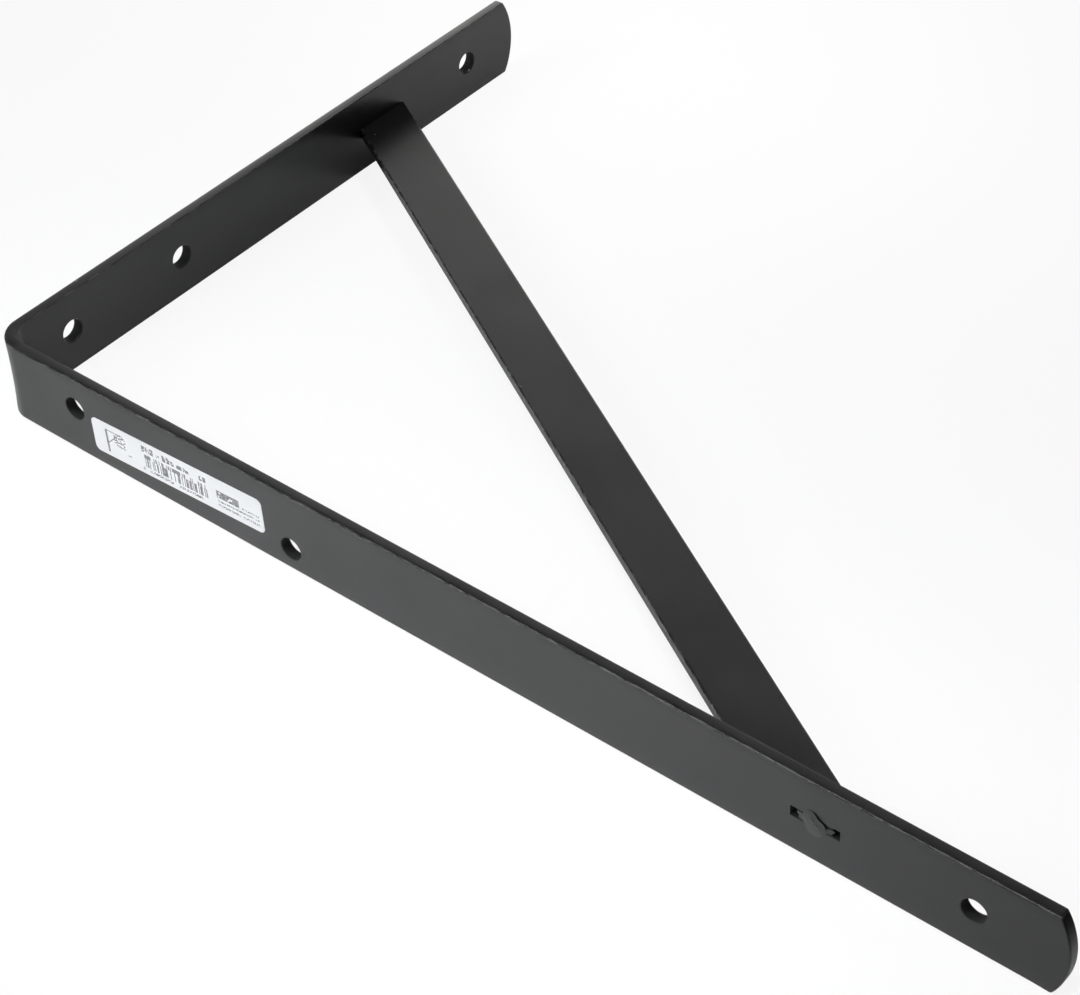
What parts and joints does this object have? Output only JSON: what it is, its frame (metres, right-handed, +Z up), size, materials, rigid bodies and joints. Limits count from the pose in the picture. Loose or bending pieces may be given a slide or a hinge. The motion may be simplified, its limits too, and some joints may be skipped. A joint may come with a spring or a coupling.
{
  "type": "shelf bracket",
  "caption": "Heavy steel shelf bracket: a flat bar folded to a right angle, screw holes in both arms, and a flat diagonal brace staked through slots in the arms.",
  "frame": {"origin": "bottom centre of the bounding box, with the bracket lying on its side", "axes": "+X along the long arm from the fold to its end, +Y along the short arm from the fold to its end, +Z up across the width of the bar"},
  "size_m": [0.3956, 0.2556, 0.03],
  "materials": {
    "black_coating": "black satin powder coating on steel",
    "label_paper": "white adhesive label, semi-matt"
  },
  "bodies": {
    "root": {"angle_bar": "black_coating", "brace": "black_coating", "label": "label_paper"}
  },
  "joints": []
}
